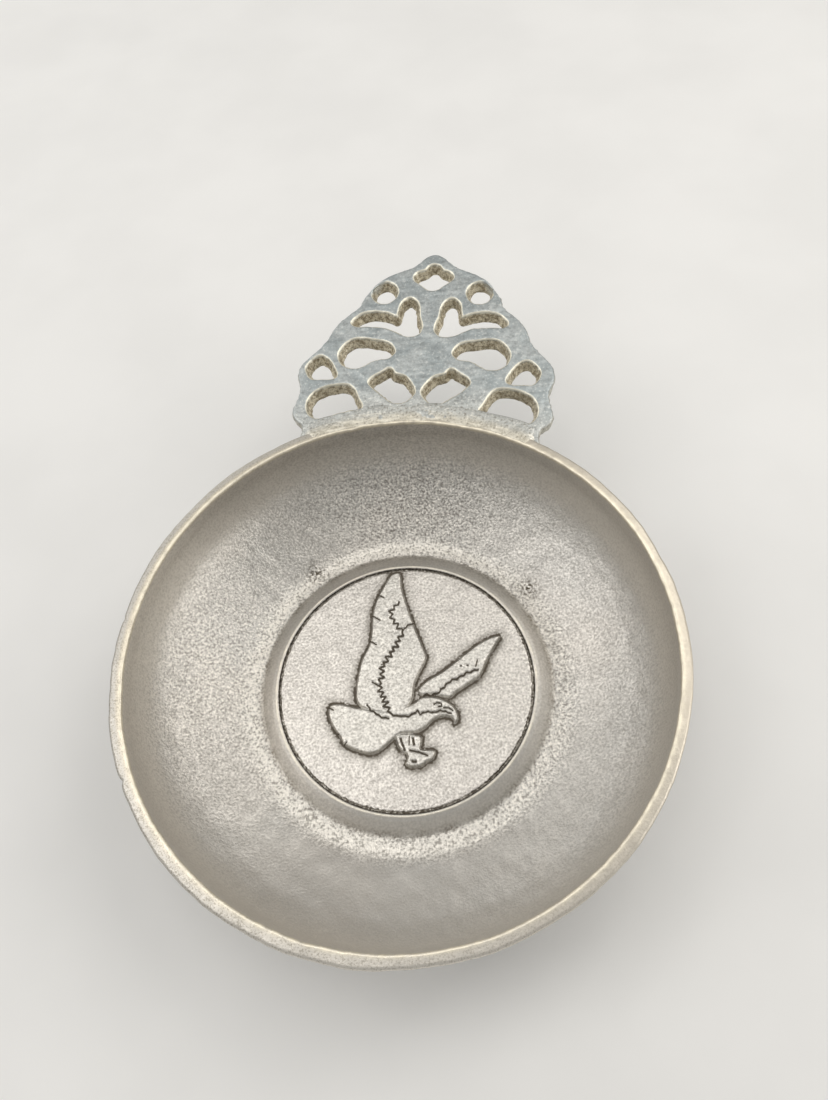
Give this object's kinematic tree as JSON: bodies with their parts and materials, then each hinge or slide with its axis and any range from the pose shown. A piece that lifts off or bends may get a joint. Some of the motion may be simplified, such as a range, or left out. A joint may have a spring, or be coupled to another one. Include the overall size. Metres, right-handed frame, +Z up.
{
  "type": "porringer",
  "caption": "Shallow round cast-metal bowl with one flat pierced handle level with its rim and a round bird medallion set in its floor.",
  "frame": {"origin": "middle of the resting ring's plane, on the bowl's axis", "axes": "+Z up along the bowl's axis, +Y from the bowl's axis towards the tip of the handle, +X to the right"},
  "size_m": [0.1404, 0.2025, 0.0376],
  "materials": {
    "bowl_metal": "sand-cast, fine grain, dull satin",
    "handle_metal": "cast, rubbed smooth on top, gritty inside the piercings",
    "solder": "soft, pitted, matt",
    "medallion_metal": "satin with darkened recesses"
  },
  "bodies": {
    "root": {"bowl": "bowl_metal", "handle": "handle_metal", "solder_seam_top": "solder", "solder_seam_under": "solder", "medallion": "medallion_metal", "medallion_solder": "solder", "bird_relief": "medallion_metal"}
  },
  "joints": []
}
